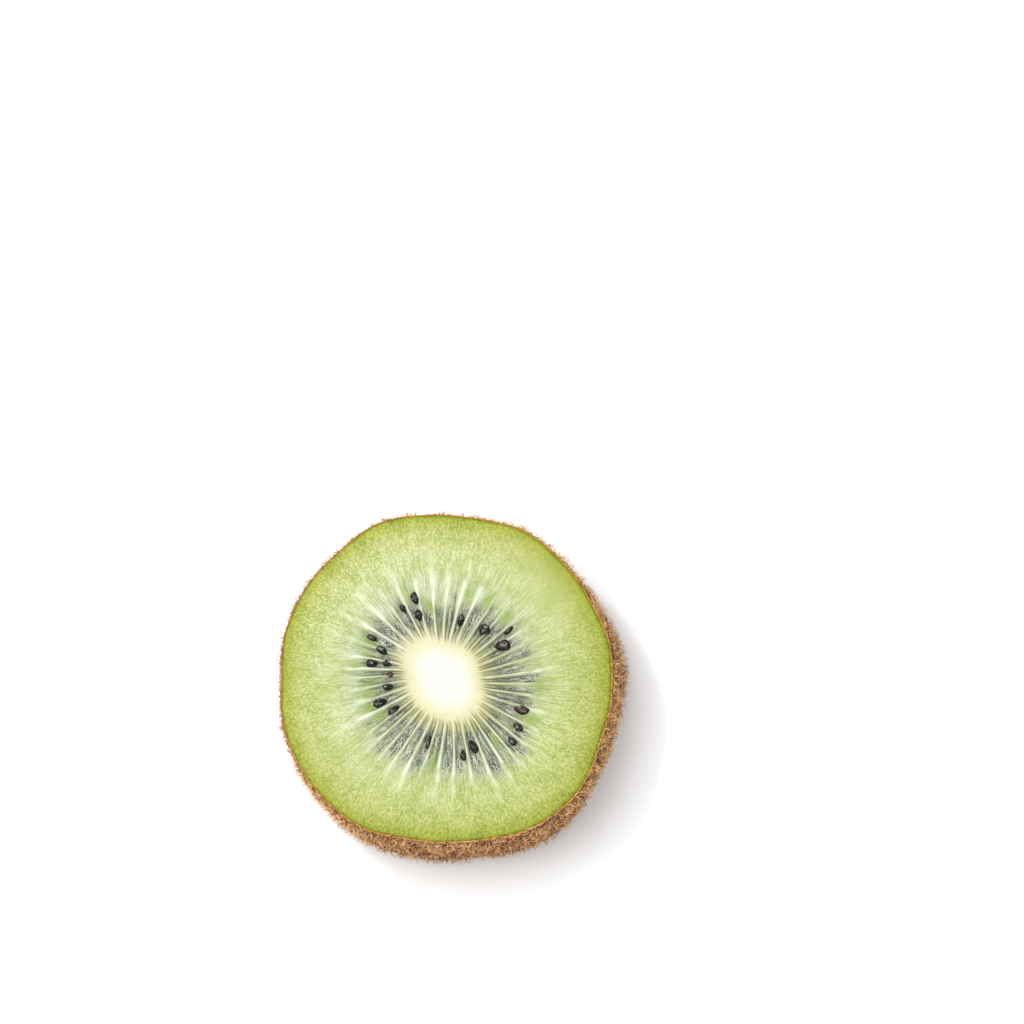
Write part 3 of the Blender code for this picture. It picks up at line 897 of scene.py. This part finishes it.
class Hairs:
    """Many hairs rooted in the skin, each an arc with a three-sided section that narrows to a point."""

    def __init__(self, count, seed, crowding=1.0):
        """Spreads the roots over the skin, and more of them towards the rim as the crowding goes above 1."""
        self.rng = np.random.default_rng(seed)
        self.count = count
        self.way = self.rng.uniform(0.0, 360.0, count)
        low, high = 0.0001, THICKNESS - 0.0001
        self.height = high - (high - low) * self.rng.uniform(0.0, 1.0, count) ** crowding
        self.out, self.around = pointing(self.way), pointing(self.way + 90.0)
        self.root = place(self.way, skin_radius(self.way, self.height) - 0.00006, self.height)

    def grow(self, length, spread, stand, bend, tone, upward=0.0):
        """Gives each hair its direction, its length and how far it bends over. A hair stands this many
        degrees off the skin, within the given range, and leans upward by a share. The tone runs from 0,
        dark, to 1."""
        rng, count = self.rng, self.count
        lean = rng.uniform(0.0, math.tau, count)[:, None]
        flat = unit(np.cos(lean) * self.around + (np.sin(lean) + upward) * (0.0, 0.0, 1.0))
        tilt = np.radians(rng.uniform(*stand, count))[:, None]
        self.first = unit(np.cos(tilt) * flat + np.sin(tilt) * self.out)
        aside = unit(rng.normal(size=(count, 3)) - 0.7 * self.out)
        aside = aside - (aside * self.first).sum(1, keepdims=True) * self.first
        self.aside = unit(aside)
        self.bend = np.radians(rng.uniform(*bend, count))[:, None]
        self.length = (length * rng.uniform(1.0 - spread, 1.0 + spread, count))[:, None]
        tint = tone + rng.choice([-0.5, 0.0, 0.3], count) + rng.normal(0.0, 0.12, count)
        self.tint = np.clip(tint, 0.0, 1.0)

    def kept_clear(self, points):
        """Keeps points out of the flesh and the floor, and near the skin."""
        x, y, z = points[:, 0] + MIDDLE[0], points[:, 1] + MIDDLE[1], points[:, 2]
        way, distance = np.degrees(np.arctan2(y, x)), np.hypot(x, y)
        z = np.clip(z, 3.0 * FLOOR_GAP, THICKNESS + FUZZ_RISE)
        skin = skin_radius(way, np.minimum(z, THICKNESS))
        least = np.where(z > THICKNESS - 0.0001, skin - 0.00015, skin - 0.00002)
        return place(way, np.clip(distance, least, skin + FUZZ_REACH), z)

    def along(self, share):
        """Where each hair is, a share of the way from its root to its tip, on its arc."""
        turned = self.bend * share
        ahead, over = np.sin(turned) / self.bend, (1.0 - np.cos(turned)) / self.bend
        return self.root + self.length * (ahead * self.first + over * self.aside)

    def mesh(self, name, segments, width):
        count, sides = self.count, 3
        binormal = np.cross(self.first, self.aside)
        rings, shares = [], []
        for number in range(segments):
            share = number / segments
            turned = self.bend * share
            middle = self.along(share)
            if number:
                middle = self.kept_clear(middle)
            normal = np.cos(turned) * self.aside - np.sin(turned) * self.first
            girth = 0.5 * width * (1.0 - 0.7 * share)
            for corner in np.arange(sides) * math.tau / sides:
                rings.append(middle + girth * (math.cos(corner) * normal + math.sin(corner) * binormal))
                shares.append(share)
        rings.append(self.kept_clear(self.along(1.0)))
        shares.append(1.0)
        points = np.stack(rings, 1)
        points[..., 2] = np.maximum(points[..., 2], FLOOR_GAP)
        each = points.shape[1]
        quads, ends = [], [(2, 1, 0)]
        for number in range(segments - 1):
            for side in range(sides):
                near, far, after = sides * number, sides * (number + 1), (side + 1) % sides
                quads.append((near + side, near + after, far + after, far + side))
        last = sides * (segments - 1)
        ends += [(last + side, last + (side + 1) % sides, each - 1) for side in range(sides)]
        offsets = (np.arange(count) * each)[:, None, None]
        faces = (offsets + np.array(quads)).reshape(-1, 4).tolist()
        faces += (offsets + np.array(ends)).reshape(-1, 3).tolist()
        places = self.lay_out(quads, ends, segments, sides)
        mesh = new_mesh(name, points.reshape(-1, 3).tolist(), faces, places)
        set_attribute(mesh, "tint", np.repeat(self.tint, each))
        set_attribute(mesh, "along", np.tile(shares, count))
        return mesh

    def lay_out(self, quads, ends, segments, sides):
        """Gives each hair a small cell of its own for baking."""
        across = math.ceil(math.sqrt(self.count))
        tip = sides * segments

        def cell(corner, side):
            if corner == tip:
                return ((side + 0.5) / sides, 1.0)
            wraps = side == sides - 1 and corner % sides == 0
            return ((sides if wraps else corner % sides) / sides, corner // sides / segments)

        quad_cells = []
        for number, quad in enumerate(quads):
            quad_cells.append([cell(corner, number % sides) for corner in quad])
        end_cells = [[(0.66, 0.0), (0.33, 0.05), (0.0, 0.0)]]
        end_cells += [[cell(corner, side) for corner in end] for side, end in enumerate(ends[1:])]
        number = np.arange(self.count)
        origin = np.stack([number % across, number // across], -1)[:, None, None, :]
        return [(origin + 0.08 + 0.84 * np.array(cells)) / across for cells in (quad_cells, end_cells)]


def build_fuzz(sizes, colours):
    """The fuzz on the skin: short down, curled hairs, and long ones that stray, more of them at the rim."""
    # The down and the tangle lie under the other hairs, and their darker tones are partly their own colour
    # and partly painted shade under the hairs above.
    down = Hairs(sizes.down_count, seed=21)
    down.grow(sizes.down_length, spread=0.35, stand=(8, 30), bend=(30, 120), tone=0.2)
    curls = Hairs(sizes.curl_count, seed=22, crowding=1.2)
    curls.grow(sizes.curl_length, spread=0.35, stand=(12, 34), bend=(30, 150), tone=0.9)
    tangle = Hairs(sizes.curl_count, seed=24)
    tangle.grow(sizes.curl_length, spread=0.30, stand=(5, 20), bend=(30, 130), tone=0.4)
    strays = Hairs(sizes.stray_count, seed=23, crowding=1.6)
    strays.grow(sizes.stray_length, spread=0.35, stand=(30, 75), bend=(30, 140), tone=0.95, upward=0.2)
    kinds = (
        ("kiwi_down", down, 3, 0.8),
        ("kiwi_curls", curls, 4, 1.1),
        ("kiwi_tangle", tangle, 4, 1.0),
        ("kiwi_strays", strays, 4, 0.8),
    )
    for name, hairs, segments, share in kinds:
        mesh = hairs.mesh(name, segments, share * sizes.hair_width)
        add_piece(name, mesh, make_hair_finish(colours, name.replace("_", " ")), replaces=False)


def place_camera():
    """A long lens that looks down on the upper face a little aslant, aimed so that the core falls on its
    place in the picture."""
    tilt, direction = math.radians(VIEW_TILT), math.radians(VIEW_DIRECTION)
    back = Vector(
        (math.sin(tilt) * math.cos(direction), math.sin(tilt) * math.sin(direction), math.cos(tilt))
    )
    upright = (Vector((0.0, 1.0, 0.0)) - back * back.y).normalized()
    right = upright.cross(back)
    turned = Matrix((right, upright, back)).transposed()
    scale = LENS / SENSOR * PICTURE_WIDTH
    half = PICTURE_WIDTH / 2
    towards = Vector(((CORE_PIXEL[0] - half) / scale, -(CORE_PIXEL[1] - half) / scale, -1.0))
    aim = towards.rotation_difference(Vector((0.0, 0.0, -1.0)))
    core = Vector((-MIDDLE[0], -MIDDLE[1], THICKNESS))
    data = bpy.data.cameras.new("camera")
    data.lens = LENS
    data.sensor_width = SENSOR
    data.clip_start = 0.01
    data.clip_end = 20.0
    camera = add_object("camera", data)
    spot = Matrix.Translation(core + back * VIEW_DISTANCE)
    camera.matrix_world = spot @ (turned @ aim.to_matrix()).to_4x4()
    bpy.context.scene.camera = camera


def add_light(name, location, target, size, power, colour):
    """A square area light that faces a point."""
    data = bpy.data.lights.new(name, "AREA")
    data.size = size
    data.energy = power
    data.color = colour
    light = add_object(name, data)
    light.location = location
    light.rotation_euler = (Vector(target) - Vector(location)).to_track_quat("-Z", "Y").to_euler()


def build_floor(colours):
    """A plain pale floor."""
    half = 1.5
    corners = [(-half, -half, 0.0), (half, -half, 0.0), (half, half, 0.0), (-half, half, 0.0)]
    mesh = new_mesh("floor", corners, [(0, 1, 2, 3)])
    finish = Finish("floor")
    finish.set(Base_Color=colours.floor, Roughness=0.9, Specular_IOR_Level=0.1)
    mesh.materials.append(finish.material)
    add_object("floor", mesh)


def build_stage(colours):
    """The camera and the floor, with a soft light from the upper left and an even pale sky."""
    place_camera()
    build_floor(colours)
    for light in LIGHTS:
        add_light(*light)
    world = bpy.data.worlds.new("studio")
    world.use_nodes = True
    sky = world.node_tree.nodes["Background"]
    sky.inputs["Color"].default_value = SKY_COLOUR
    sky.inputs["Strength"].default_value = SKY_STRENGTH
    bpy.context.scene.world = world
    bpy.context.scene.view_settings.view_transform = "Standard"


class KIWI_OT_stage(bpy.types.Operator):
    """Adds the camera, the floor and the lights"""

    bl_idname = "kiwi.stage"
    bl_label = "Stage"

    def execute(self, context):
        build_stage(context.scene.kiwi_colours)
        return {"FINISHED"}


class KIWI_OT_flesh(bpy.types.Operator):
    """Adds the cut flesh with its core, rays and seed chambers"""

    bl_idname = "kiwi.flesh"
    bl_label = "Flesh"

    def execute(self, context):
        build_flesh(context.scene.kiwi_sizes, context.scene.kiwi_colours)
        return {"FINISHED"}


class KIWI_OT_skin(bpy.types.Operator):
    """Adds the thin brown skin"""

    bl_idname = "kiwi.skin"
    bl_label = "Skin"

    def execute(self, context):
        build_skin(context.scene.kiwi_sizes, context.scene.kiwi_colours)
        return {"FINISHED"}


class KIWI_OT_seeds(bpy.types.Operator):
    """Adds the seeds of both cut faces"""

    bl_idname = "kiwi.seeds"
    bl_label = "Seeds"

    def execute(self, context):
        build_seeds(context.scene.kiwi_sizes, context.scene.kiwi_colours)
        return {"FINISHED"}


class KIWI_OT_fuzz(bpy.types.Operator):
    """Adds the down, curled hairs and stray hairs on the skin"""

    bl_idname = "kiwi.fuzz"
    bl_label = "Fuzz"

    def execute(self, context):
        build_fuzz(context.scene.kiwi_sizes, context.scene.kiwi_colours)
        return {"FINISHED"}


STEPS = (KIWI_OT_stage, KIWI_OT_flesh, KIWI_OT_skin, KIWI_OT_seeds, KIWI_OT_fuzz)


class KIWI_PT_panel(bpy.types.Panel):
    """Lists the sizes, the colours and the pieces"""

    bl_idname = "KIWI_PT_panel"
    bl_label = "Kiwi Slice"
    bl_space_type = "VIEW_3D"
    bl_region_type = "UI"
    bl_category = "Kiwi Slice"

    def draw(self, context):
        for group in (context.scene.kiwi_sizes, context.scene.kiwi_colours):
            box = self.layout.box()
            for name in group.__annotations__:
                box.prop(group, name)
        for step in STEPS:
            self.layout.operator(step.bl_idname)


CLASSES = (KiwiSizes, KiwiColours, *STEPS, KIWI_PT_panel)


def register():
    for one in CLASSES:
        bpy.utils.register_class(one)
    bpy.types.Scene.kiwi_sizes = PointerProperty(type=KiwiSizes)
    bpy.types.Scene.kiwi_colours = PointerProperty(type=KiwiColours)


def unregister():
    del bpy.types.Scene.kiwi_colours
    del bpy.types.Scene.kiwi_sizes
    for one in reversed(CLASSES):
        bpy.utils.unregister_class(one)


def main():
    register()
    bpy.ops.kiwi.stage()
    bpy.ops.kiwi.flesh()
    bpy.ops.kiwi.skin()
    bpy.ops.kiwi.seeds()
    bpy.ops.kiwi.fuzz()


if __name__ == "__main__":
    main()
